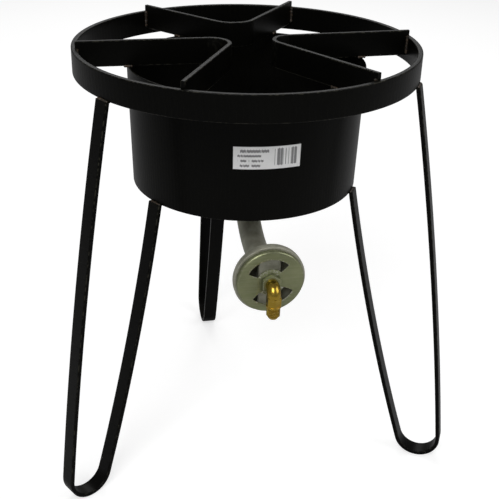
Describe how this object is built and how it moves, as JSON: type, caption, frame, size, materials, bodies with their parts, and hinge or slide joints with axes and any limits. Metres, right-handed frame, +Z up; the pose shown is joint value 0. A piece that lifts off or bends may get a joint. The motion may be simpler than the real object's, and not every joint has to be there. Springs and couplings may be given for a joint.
{
  "type": "propane burner stand",
  "caption": "Floor stand with a flat-bar ring, V-shaped pot supports, hairpin legs and a cast gas burner inside a round wind shroud, fed through a brass flare elbow.",
  "frame": {"origin": "point on the floor on the axis of the top ring", "axes": "+Z up, -Y towards the air shutter and gas inlet, +X to the right seen from the inlet side; the rear leg is towards +Y"},
  "size_m": [0.501, 0.4865, 0.542],
  "materials": {
    "black_paint": "satin",
    "label_paper": "matt",
    "cast_iron": "rough",
    "zinc_steel": "satin",
    "olive_zinc": "satin",
    "brass": "polished"
  },
  "bodies": {
    "stand": {"pot_ring": "black_paint", "pot_support_left": "black_paint", "pot_support_right": "black_paint", "pot_support_rear": "black_paint", "leg_front_left": "black_paint", "leg_front_right": "black_paint", "leg_rear": "black_paint", "wind_shroud": "black_paint", "shroud_label": "label_paper", "burner_strap_front": "black_paint", "burner_strap_rear": "black_paint", "burner_casting": "cast_iron", "burner_cap": "cast_iron", "cap_screws": "zinc_steel", "burner_bolts": "zinc_steel", "burner_washers": "zinc_steel", "burner_nuts": "zinc_steel", "orifice_spud": "brass", "friction_washer": "zinc_steel", "lock_nut": "zinc_steel", "inlet_elbow": "brass"},
    "shutter": {"air_shutter": "olive_zinc"}
  },
  "joints": [
    {"name": "shutter_turn", "type": "hinge", "parent": "stand", "child": "shutter", "pos_m": [0, -0.149, 0.298], "axis": [0, -0.9994, -0.0349], "continuous": true}
  ]
}
